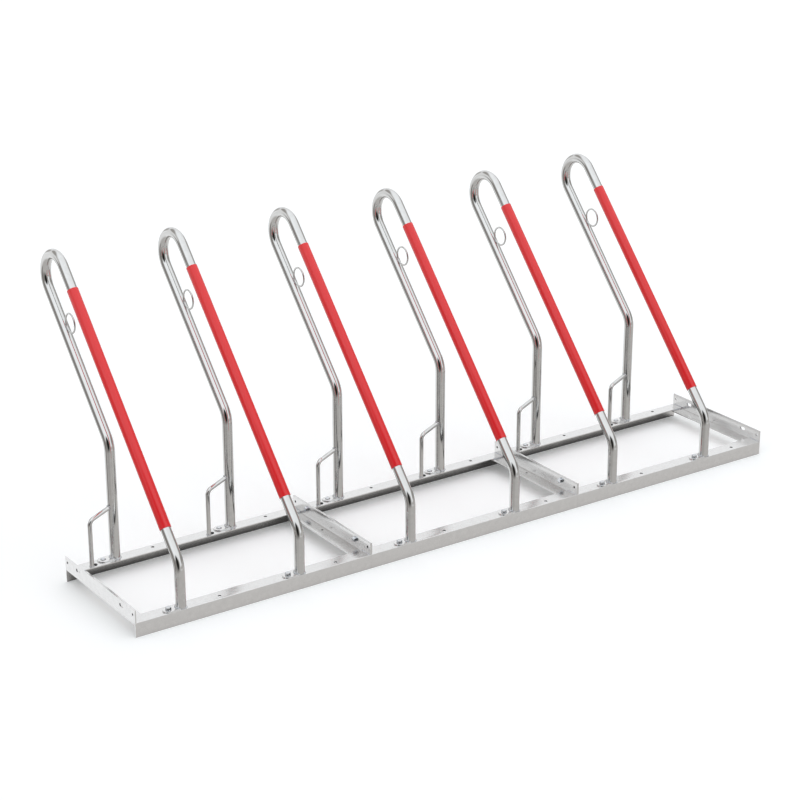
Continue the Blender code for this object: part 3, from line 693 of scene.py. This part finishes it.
# Soft PVC comes out of its die glossy, with lines along its length that stretch each reflection.
red_plastic = plastic_skin(
    "extruded_red_plastic", SLEEVE_DEEP_RED, SLEEVE_RED, (DIE_LINE, DIE_LINE, DIE_LINE_LENGTH), -SLOPE_ANGLE,
    DIE_LINE_HEIGHT, SLEEVE_POLISH, SLEEVE_IOR,
)
skin = bmesh.new()
inner = TUBE_RADIUS + SLEEVE_GAP
edges = ring(skin, front_corner + SLEEVE_START * UP_SLOPE, UP_SLOPE, inner + SLEEVE_WALL, TUBE_SIDES)
slope_length = (arc_start - front_corner).length
run_straight(skin, edges, (slope_length - SLEEVE_END_MARGIN - SLEEVE_START) * UP_SLOPE)
bmesh.ops.recalc_face_normals(skin, faces=skin.faces)
bmesh.ops.solidify(skin, geom=skin.faces[:], thickness=SLEEVE_WALL)
bmesh.ops.remove_doubles(skin, verts=skin.verts, dist=MERGE_DISTANCE)
rims = [edge for edge in skin.edges if edge.calc_face_angle(0) > SHARP_ANGLE]
bmesh.ops.bevel(skin, geom=rims, offset=SLEEVE_RIM, segments=2, profile=0.5, affect="EDGES", material=-1)
sleeve_mesh = mesh_from(skin, "sleeve")
for i, x in enumerate(HOOP_X, start=1):
    show(f"hoop_{i}_sleeve", moved_to(sleeve_mesh, x), red_plastic, "red_sleeve", f"sleeve_{i}")

# Lock rings
# A ring of 5 mm wire in the hoop's plane, welded to the front side of the return slope by a bead along each
# of its sides. A padlock or a cable goes through it.
RING_WIRE = 0.0025
RING_OUTER = 0.0285
RING_ALONG = 0.330
RING_BEAD_RADIUS = 0.0016
RING_BEAD_LENGTH = 0.012
RING_BEAD_SIDE = 0.0024
RING_SIDES = 20
RING_STEPS = 96

# Cold-drawn wire has the same clear zinc as the tube, a shade softer.
wire_steel = zinc_coat(
    "galvanised_wire_steel", TUBE_LIGHT, TUBE_DARK,
    roughness=0.05, spread=0.010, grain_height=0.000001, wave_height=0.00001,
)
centre = rear_corner + RING_ALONG * UP_SLOPE - (TUBE_RADIUS + SLEEVE_GAP + RING_OUTER) * OFF_SLOPE
loop = bmesh.new()
edges = ring(loop, centre + (RING_OUTER - RING_WIRE) * OFF_SLOPE, UP_SLOPE, RING_WIRE, RING_SIDES)
run_bend(loop, edges, centre, AXIS_X, math.tau, RING_STEPS)
ring_mesh = mesh_from(loop, "lock_ring")
touch = centre + (RING_OUTER - RING_BEAD_RADIUS / 2) * OFF_SLOPE
beads = bmesh.new()
for side in (-RING_BEAD_SIDE, RING_BEAD_SIDE):
    middle = touch + side * AXIS_X
    half = RING_BEAD_LENGTH / 2 * UP_SLOPE
    bead(beads, middle - half, middle + half, RING_BEAD_RADIUS)
ring_welds = mesh_from(beads, "ring_welds")
for i, x in enumerate(HOOP_X, start=1):
    show(f"hoop_{i}_lock_ring", moved_to(ring_mesh, x), wire_steel, "galvanised_wire", f"lock_ring_{i}")
    show(f"hoop_{i}_ring_welds", moved_to(ring_welds, x), weld_steel, "galvanised_wire")

# Wheel guides
# A 12 mm wire stands on the rear rail's flange and bends across to the rear leg. It is welded at both ends,
# and keeps a tyre beside the leg.
GUIDE_WIRE = 0.006
GUIDE_OFFSET = 0.075
GUIDE_FORWARD = 0.014
GUIDE_CORNER_Z = 0.168
GUIDE_END_Z = 0.1904
GUIDE_BEND = 0.018
GUIDE_Y = REAR_LEG_Y - GUIDE_FORWARD
GUIDE_SINK = 0.0012
GUIDE_FOOT_WELD = 0.0012
GUIDE_END_WELD = 0.0022
GUIDE_SIDES = 32

foot = Vector((-GUIDE_OFFSET, GUIDE_Y, LEG_BOTTOM))
corner = Vector((-GUIDE_OFFSET, GUIDE_Y, GUIDE_CORNER_Z))
leg_point = Vector((0, REAR_LEG_Y, GUIDE_END_Z))
to_leg = (leg_point - corner).normalized()
end = leg_point - to_leg * (TUBE_RADIUS - GUIDE_SINK)
wire = bmesh.new()
edges = ring(wire, foot, AXIS_Z, GUIDE_WIRE, GUIDE_SIDES)
last = bent_tube(wire, edges, [foot, corner, end], [GUIDE_BEND], BEND_STEPS)
for rim in (edges, last):
    bmesh.ops.contextual_create(wire, geom=rim)
guide_mesh = mesh_from(wire, "wheel_guide")
guide_foot_weld = mesh_from(weld_ring(foot, AXIS_Z, GUIDE_WIRE, GUIDE_FOOT_WELD), "guide_foot_weld")
saddle = weld_ring(leg_point - to_leg * TUBE_RADIUS, -to_leg, GUIDE_WIRE, GUIDE_END_WELD)
flat_side = to_leg.cross(AXIS_Z).normalized()
for vert in saddle.verts:
    aside = min(abs((vert.co - leg_point).dot(flat_side)), TUBE_RADIUS)
    vert.co += to_leg * (TUBE_RADIUS - math.sqrt(TUBE_RADIUS ** 2 - aside ** 2))
guide_end_weld = mesh_from(saddle, "guide_end_weld")
for i, x in enumerate(HOOP_X, start=1):
    show(f"hoop_{i}_wheel_guide", moved_to(guide_mesh, x), wire_steel, "galvanised_wire", f"wheel_guide_{i}")
    show(f"hoop_{i}_guide_foot_weld", moved_to(guide_foot_weld, x), weld_steel, "galvanised_wire")
    show(f"hoop_{i}_guide_end_weld", moved_to(guide_end_weld, x), weld_steel, "galvanised_wire")

# Hole plugs
# A low black cap sits in the hole beside each wheel guide's foot, and its black is painted shade for the
# deep shade seen down that hole. It has a thin round edge and a satin grain, and its stem is pushed into the
# hole.
PLUG_RADIUS = 0.0058
PLUG_HEIGHT = 0.0026
PLUG_RIM = 0.0007
PLUG_STEM = 0.0046
PLUG_DEPTH = 0.005
PLUG_STEPS = 10
PLUG_SIDES = 48
# Painted shade: the cap's black tones stand for the shade in the hole.
PLUG_SHADE_BLACK = "131313"
PLUG_DEEP_SHADE_BLACK = "0D0D0D"
PLUG_GRAIN = 0.0006
PLUG_GRAIN_HEIGHT = 0.00002
PLUG_POLISH = (0.38, 0.52)
PLUG_IOR = 1.51


def dome(radius, height, rim, steps):
    """A turned profile's round top, from its middle out: a quarter of an ellipse that stands on a rim."""
    turns = [math.pi / 2 * step / steps for step in range(steps + 1)]
    return [(radius * math.sin(turn), rim + (height - rim) * math.cos(turn)) for turn in turns]


# A satin plastic whose black paints the shade in the hole, so black that little but its soft highlight
# shows.
shade_black_plastic = plastic_skin(
    "black_cap_painted_hole_shade", PLUG_DEEP_SHADE_BLACK, PLUG_SHADE_BLACK, (PLUG_GRAIN, PLUG_GRAIN, PLUG_GRAIN), 0,
    PLUG_GRAIN_HEIGHT, PLUG_POLISH, PLUG_IOR,
)
plug = bmesh.new()
plug_profile = [
    *dome(PLUG_RADIUS, PLUG_HEIGHT, PLUG_RIM, PLUG_STEPS),
    (PLUG_RADIUS, 0), (PLUG_STEM, 0), (PLUG_STEM, -PLUG_DEPTH), (0, -PLUG_DEPTH),
]
plug_seat = Vector((-GUIDE_HOLE_OFFSET, REAR_Y - GUIDE_HOLE_INSET, FLANGE_TOP))
turned(plug, plug_profile, plug_seat, AXIS_Z, PLUG_SIDES)
plug_mesh = mesh_from(plug, "hole_plug")
for i, x in enumerate(HOOP_X, start=1):
    show(f"hoop_{i}_hole_plug", moved_to(plug_mesh, x), shade_black_plastic, "galvanised_angle")

# Foot bolts
# Zinc-plated M8 fasteners hold each lug down to its rail: a hexagon bolt with a washer at the front, and a
# bolt with a low round head at the rear, each with a nut under the flange.
SHANK_RADIUS = 0.004
ACROSS_FLATS = 0.013
HEAD_HEIGHT = 0.0053
NUT_HEIGHT = 0.0068
CHAMFER_SLOPE = math.tan(math.radians(30))
CHAMFER_INSET = 0.0002
CHAMFER_PAST = 0.001
WASHER_RADIUS = 0.008
WASHER_THICKNESS = 0.0016
WASHER_EDGE = 0.0002
ROUND_HEAD_RADIUS = 0.0075
ROUND_HEAD_HEIGHT = 0.0035
ROUND_HEAD_RIM = 0.0006
ROUND_HEAD_STEPS = 12
THREAD_PITCH = 0.00125
THREAD_DEPTH = 0.0007
THREAD_PAST_NUT = 0.003
TURNED_SIDES = 48
PLATE_LIGHT = "D9DBDE"
PLATE_DARK = "D0D3D7"


def hexagon(centre, axis, height, both_ends):
    """A hexagon along an axis. A turned chamfer clips the corners of its upper end or of both its ends."""
    body = bmesh.new()
    across_corners = ACROSS_FLATS / math.cos(math.pi / 6)
    drill(body, centre + axis * height / 2, axis, across_corners, height, sides=6)
    inner = ACROSS_FLATS / 2 - CHAMFER_INSET
    outer = across_corners / 2 + CHAMFER_PAST
    drop = (outer - inner) * CHAMFER_SLOPE
    cutter = bmesh.new()
    ends = [(height, 1), (0, -1)] if both_ends else [(height, 1)]
    for level, up in ends:
        start = (inner, level)
        past = level + up * drop
        profile = [start, (outer, level - up * drop), (outer, past), (inner, past), start]
        turned(cutter, profile, centre, axis, TURNED_SIDES)
    return machined(mesh_from(body, "hexagon"), cutter)


def washer(centre, axis):
    """A flat washer on a seat."""
    shape = bmesh.new()
    bore = SHANK_RADIUS + SEAT_GAP
    rim = WASHER_RADIUS - WASHER_EDGE
    start = (bore, 0)
    profile = [
        start, (rim, 0), (WASHER_RADIUS, WASHER_EDGE), (WASHER_RADIUS, WASHER_THICKNESS - WASHER_EDGE),
        (rim, WASHER_THICKNESS), (bore, WASHER_THICKNESS), start,
    ]
    turned(shape, profile, centre, axis, TURNED_SIDES)
    return mesh_from(shape, "washer")


def shank(centre, axis, top, tip, thread_top):
    """A bolt's shank, from its head down to its tip. The thread is drawn as grooves a pitch apart."""
    shape = bmesh.new()
    profile = [(0, top), (SHANK_RADIUS, top), (SHANK_RADIUS, thread_top)]
    turns = int((thread_top - tip) / THREAD_PITCH)
    for turn in range(turns):
        level = thread_top - turn * THREAD_PITCH
        profile.append((SHANK_RADIUS - THREAD_DEPTH, level - THREAD_PITCH / 2))
        profile.append((SHANK_RADIUS, level - THREAD_PITCH))
    profile += [(SHANK_RADIUS - THREAD_DEPTH, tip), (0, tip)]
    turned(shape, profile, centre, axis, TURNED_SIDES // 2)
    return shape


def nut(centre, axis, height):
    """A hexagon nut bored for its thread."""
    cutter = bmesh.new()
    drill(cutter, centre + axis * height / 2, axis, 2 * SHANK_RADIUS, height + 2 * CUT_PAST)
    return machined(hexagon(centre, axis, height, True), cutter)


# Electroplated zinc is thin, bright and a little bluish.
plated_steel = zinc_coat(
    "zinc_plated_steel", PLATE_LIGHT, PLATE_DARK,
    roughness=0.08, spread=0.02, grain_height=0.000001, wave_height=0.00001,
)
head_seat = LUG_TOP + SEAT_GAP
nut_top = FLANGE_TOP - ANGLE_WALL - SEAT_GAP
tip = nut_top - NUT_HEIGHT - THREAD_PAST_NUT
front_bolt = Vector((-BOLT_OFFSET, FRONT_Y + BOLT_INSET, 0))
rear_bolt = Vector((-BOLT_OFFSET, REAR_Y - BOLT_INSET, 0))
head_bottom = head_seat + WASHER_THICKNESS
hex_head = hexagon(front_bolt + head_bottom * AXIS_Z, AXIS_Z, HEAD_HEIGHT, False)
hex_shank = shank(front_bolt, AXIS_Z, head_bottom + HEAD_HEIGHT / 2, tip, nut_top)
hex_bolt = machined(hex_head, hex_shank, "UNION")
round_head = bmesh.new()
head_profile = dome(ROUND_HEAD_RADIUS, ROUND_HEAD_HEIGHT, ROUND_HEAD_RIM, ROUND_HEAD_STEPS)
head_profile += [(ROUND_HEAD_RADIUS, 0), (0, 0)]
turned(round_head, head_profile, rear_bolt + head_seat * AXIS_Z, AXIS_Z, TURNED_SIDES)
round_shank = shank(rear_bolt, AXIS_Z, head_seat + ROUND_HEAD_RIM, tip, nut_top)
round_bolt = machined(mesh_from(round_head, "round_head"), round_shank, "UNION")
foot_washer = washer(front_bolt + head_seat * AXIS_Z, AXIS_Z)
foot_nuts = {
    place: nut(bolt + (nut_top - NUT_HEIGHT) * AXIS_Z, AXIS_Z, NUT_HEIGHT)
    for place, bolt in (("front", front_bolt), ("rear", rear_bolt))
}
for i, x in enumerate(HOOP_X, start=1):
    for place, bolt in (("front", hex_bolt), ("rear", round_bolt)):
        node = f"{place}_foot_bolt_{i}"
        show(f"{place}_foot_{i}_bolt", moved_to(bolt, x), plated_steel, "zinc_fastener", node)
    show(f"front_foot_{i}_washer", moved_to(foot_washer, x), plated_steel, "zinc_fastener")
    for place, foot_nut in foot_nuts.items():
        show(f"{place}_foot_{i}_nut", moved_to(foot_nut, x), plated_steel, "zinc_fastener")

# Joint bolts
# Two M8 bolts draw each pair of back-to-back upstands together, through slots that let the modules be lined
# up. The head is at the left and the nut at the right, each on a washer.
for joint in (1, 2):
    for place in ("front", "rear"):
        bolt_low, bolt_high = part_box(f"{place}_joint_bolt_{joint}")
        nut_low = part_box(f"{place}_joint_nut_{joint}")[0]
        middle = (bolt_low + bolt_high) / 2
        axis_point = Vector((0, middle.y, middle.z))
        left_seat = axis_point + (bolt_low.x + HEAD_HEIGHT + WASHER_THICKNESS) * AXIS_X
        right_seat = axis_point + nut_low.x * AXIS_X
        head = hexagon(left_seat - WASHER_THICKNESS * AXIS_X, -AXIS_X, HEAD_HEIGHT, False)
        reach = bolt_high.x - left_seat.x
        thread = bolt_high.x - nut_low.x - WASHER_THICKNESS
        bar = shank(left_seat, -AXIS_X, WASHER_THICKNESS + HEAD_HEIGHT / 2, -reach, thread - reach)
        bolt = machined(head, bar, "UNION")
        joint_nut = nut(right_seat + WASHER_THICKNESS * AXIS_X, AXIS_X, NUT_HEIGHT)
        left_washer = washer(left_seat, -AXIS_X)
        right_washer = washer(right_seat, AXIS_X)
        joint_name = f"{place}_joint_{joint}"
        show(f"{joint_name}_bolt", bolt, plated_steel, "zinc_fastener", f"{place}_joint_bolt_{joint}")
        show(f"{joint_name}_left_washer", left_washer, plated_steel, "zinc_fastener")
        show(f"{joint_name}_right_washer", right_washer, plated_steel, "zinc_fastener")
        show(f"{joint_name}_nut", joint_nut, plated_steel, "zinc_fastener", f"{place}_joint_nut_{joint}")

# Floor
# A matt studio floor, white to the camera and pale grey to the light that it throws up at the rack. To a
# reflection it is clear but for the deep shadow under the flanges, so the steel mirrors the studio below it.
# That shadow's core and edge are shares of the sky that a spot on the floor still sees.
FLOOR_WHITE = "FCFCFC"
FLOOR_BOUNCE = "D4D4D4"
FLOOR_SIZE = 80
SHADOW_REACH = 0.12
SHADOW_DARKEST = 0.06
SHADOW_CORE = 0.22
SHADOW_EDGE = 0.55
SHADOW_SAMPLES = 8
FLOOR_GLOW = 0.13
FLOOR_GLOW_COLOUR = "F8FFFF"

floor_paint = bpy.data.materials.new("white_floor")
floor_paint.use_nodes = True
tree = floor_paint.node_tree
path = add_node(tree, "ShaderNodeLightPath", {})
paint = add_node(
    tree,
    "ShaderNodeMix",
    {"data_type": "RGBA", 6: linear(FLOOR_BOUNCE), 7: linear(FLOOR_WHITE)},
    [(0, path.outputs["Is Camera Ray"])],
)
matt = add_node(tree, "ShaderNodeBsdfDiffuse", {}, [("Color", paint.outputs[2])])
glow_strength = add_node(
    tree, "ShaderNodeMath", {"operation": "MULTIPLY", 1: FLOOR_GLOW}, [(0, path.outputs["Is Camera Ray"])]
)
glow = add_node(
    tree,
    "ShaderNodeEmission",
    {"Color": linear(FLOOR_GLOW_COLOUR)},
    [("Strength", glow_strength.outputs[0])],
)
seen = add_node(tree, "ShaderNodeAddShader", {}, [(0, matt.outputs["BSDF"]), (1, glow.outputs["Emission"])])
near_shadow = add_node(
    tree, "ShaderNodeAmbientOcclusion", {"samples": SHADOW_SAMPLES, "Distance": SHADOW_REACH}
)
shade = add_node(
    tree,
    "ShaderNodeMapRange",
    {"From Min": SHADOW_CORE, "From Max": SHADOW_EDGE, "To Min": SHADOW_DARKEST},
    [("Value", near_shadow.outputs["AO"])],
)
clear = add_node(tree, "ShaderNodeBsdfTransparent", {}, [("Color", shade.outputs["Result"])])
surface = add_node(
    tree,
    "ShaderNodeMixShader",
    {},
    [(0, path.outputs["Is Glossy Ray"]), (1, seen.outputs["Shader"]), (2, clear.outputs["BSDF"])],
)
tree.links.new(surface.outputs["Shader"], tree.nodes["Material Output"].inputs["Surface"])
tree.nodes.remove(tree.nodes["Principled BSDF"])
shape = bmesh.new()
bmesh.ops.create_grid(shape, x_segments=1, y_segments=1, size=FLOOR_SIZE / 2)
floor = bpy.data.objects.new("floor", mesh_from(shape, "floor"))
floor.data.materials.append(floor_paint)
bpy.context.scene.collection.objects.link(floor)

# Studio light
# An even pale room, brightest overhead, with soft panels round the rack for the bright steel to mirror. The
# camera sees the room as plain white. Light from the ground below the horizon stands for a grey floor.
OVERHEAD = 1.20
ROOM = 1.13
GROUND = 0.58
WARMTH = 0.08
NEUTRAL = 0.90
HORIZON = (-0.28, -0.08)
CEILING = (0.75, 0.95)
# Each panel is an ellipse on the sky: azimuth right of +Y and elevation in degrees, reaches across and up as
# shares of the sky's radius, brightness, and how soft its edge is. A later panel lies over an earlier one.
PANELS = [
    (-12, -28, 0.62, 0.34, 1.00, 0.35),
    (68, -35, 0.50, 0.34, 0.84, 0.40),
    (-115, 45, 0.36, 0.30, 1.24, 0.35),
    (-68, 30, 0.26, 0.20, 0.68, 0.35),
    (-36, 12, 0.30, 0.34, 0.95, 0.30),
    (35, 24, 0.42, 0.30, 0.98, 0.40),
    (-24, 40, 0.42, 0.21, 0.42, 0.42),
    (-4, 10, 0.22, 0.24, 0.50, 0.40),
    (81, 13, 0.42, 0.30, 0.40, 0.40),
    (112, 12, 0.50, 0.36, 0.34, 0.40),
    (-170, 8, 0.22, 0.42, 0.46, 0.40),
    (130, -3, 0.90, 0.13, 0.54, 0.40),
    (-118, -4, 0.85, 0.30, 0.30, 0.45),
    (-82, 16, 0.24, 0.20, 0.34, 0.40),
    (-66, -4, 0.40, 0.26, 0.26, 0.40),
    (-73, -22, 0.11, 0.16, 0.10, 0.40),
    (-140, 13, 0.42, 0.42, 0.02, 0.28),
]
PANEL_DEPTH = 0.7
BACKDROP_WHITE = "FFFFFF"

world = bpy.data.worlds.new("studio")
world.use_nodes = True
world.cycles.sampling_method = "NONE"
tree = world.node_tree
toward = add_node(tree, "ShaderNodeTexCoord", {}).outputs["Generated"]
height = add_node(tree, "ShaderNodeSeparateXYZ", {}, [("Vector", toward)]).outputs["Z"]


def tinted(brightness):
    """A panel's colour: grey that is a little warm where it is dim and a little cool where it is bright."""
    warmth = WARMTH * (NEUTRAL - brightness)
    return (brightness * (1 + warmth), brightness, brightness * (1 - warmth), 1)


def smooth_step(value, start, end):
    """The output of a node that goes smoothly from 0 to 1 as a value goes from start to end."""
    settings = {"interpolation_type": "SMOOTHSTEP", "From Min": start, "From Max": end}
    return add_node(tree, "ShaderNodeMapRange", settings, [("Value", value)]).outputs["Result"]


def laid_over(under, colour, share):
    """The output of a node that lays a colour over the light so far, by a share from 0 to 1."""
    settings = {"data_type": "RGBA", 7: colour}
    return add_node(tree, "ShaderNodeMix", settings, [(0, share), (6, under)]).outputs[2]


ground = add_node(tree, "ShaderNodeRGB", {})
ground.outputs[0].default_value = tinted(GROUND)
light = laid_over(ground.outputs[0], tinted(ROOM), smooth_step(height, *HORIZON))
light = laid_over(light, tinted(OVERHEAD), smooth_step(height, *CEILING))
for azimuth, elevation, across, up, brightness, soft in PANELS:
    azimuth = math.radians(azimuth)
    elevation = math.radians(elevation)
    flat = math.cos(elevation)
    centre = (math.sin(azimuth) * flat, math.cos(azimuth) * flat, math.sin(elevation))
    near_panel = add_node(
        tree,
        "ShaderNodeMapping",
        {
            "vector_type": "TEXTURE", "Location": centre, "Rotation": (0, 0, -azimuth),
            "Scale": (across, PANEL_DEPTH, up),
        },
        [("Vector", toward)],
    )
    distance = add_node(
        tree, "ShaderNodeVectorMath", {"operation": "LENGTH"}, [(0, near_panel.outputs["Vector"])]
    )
    light = laid_over(light, tinted(brightness), smooth_step(distance.outputs["Value"], 1 + soft, 1 - soft))
path = add_node(tree, "ShaderNodeLightPath", {})
light = laid_over(light, linear(BACKDROP_WHITE), path.outputs["Is Camera Ray"])
tree.links.new(light, tree.nodes["Background"].inputs["Color"])
bpy.context.scene.world = world
bpy.context.scene.view_settings.view_transform = "Standard"
